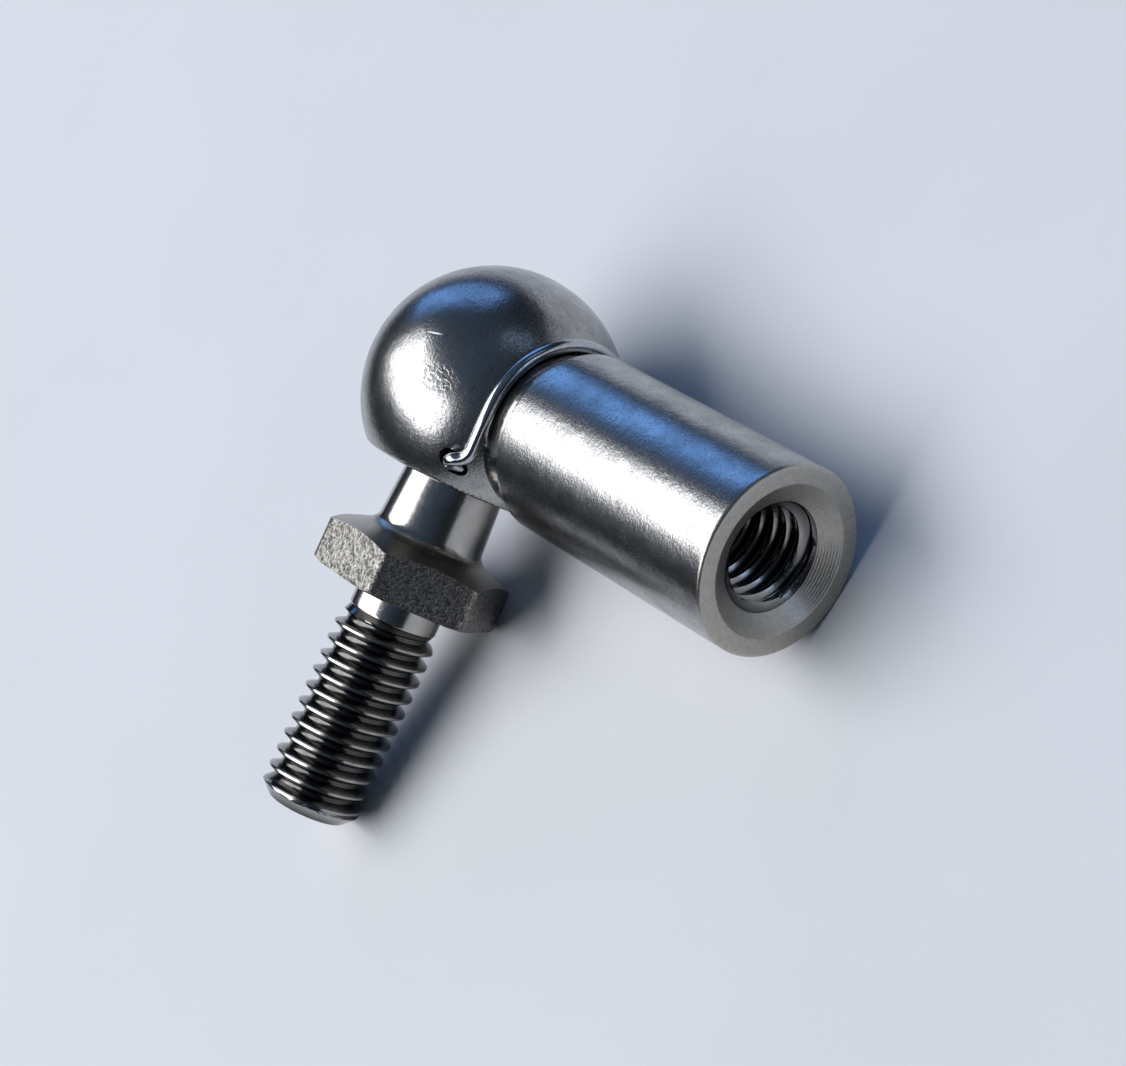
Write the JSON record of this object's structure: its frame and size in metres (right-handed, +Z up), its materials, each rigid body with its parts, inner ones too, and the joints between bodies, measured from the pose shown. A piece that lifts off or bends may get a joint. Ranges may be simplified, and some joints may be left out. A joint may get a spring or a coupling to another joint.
{
  "type": "angle ball joint",
  "caption": "Angle ball joint: a hex ball stud with a threaded shank set square in a round socket with a tapped shaft, held by a snap ring and a wire safety clip.",
  "frame": {"origin": "middle of the footprint of the joint as it lies on its side, on the surface it lies on", "axes": "+Z up; the socket's shaft runs along +X, seen from above, and dips 5.2 degrees to the surface; the stud runs along -Y, seen from above, and dips 10.4 degrees"},
  "size_m": [0.0326, 0.033, 0.0148],
  "materials": {
    "socket_steel": "stainless steel, turned and tumbled to a satin shine",
    "stud_steel": "stainless steel, turned bright, hexagon faces matt and grained",
    "spring_wire": "bright drawn stainless spring wire"
  },
  "bodies": {
    "socket": {"socket_body": "socket_steel", "safety_clip": "spring_wire"},
    "ring": {"snap_ring": "spring_wire"},
    "stud": {"ball_stud": "stud_steel"}
  },
  "joints": [
    {"name": "stud_swivel", "type": "hinge", "parent": "socket", "child": "ring", "pos_m": [-0.00892, 0.0091, 0.0074], "axis": [-0.0165, -0.9835, -0.1803], "continuous": true},
    {"name": "stud_tilt", "type": "hinge", "parent": "ring", "child": "stud", "pos_m": [-0.00892, 0.0091, 0.0074], "axis": [0.0894, -0.181, 0.9794], "range_deg": [-18, 18]}
  ]
}
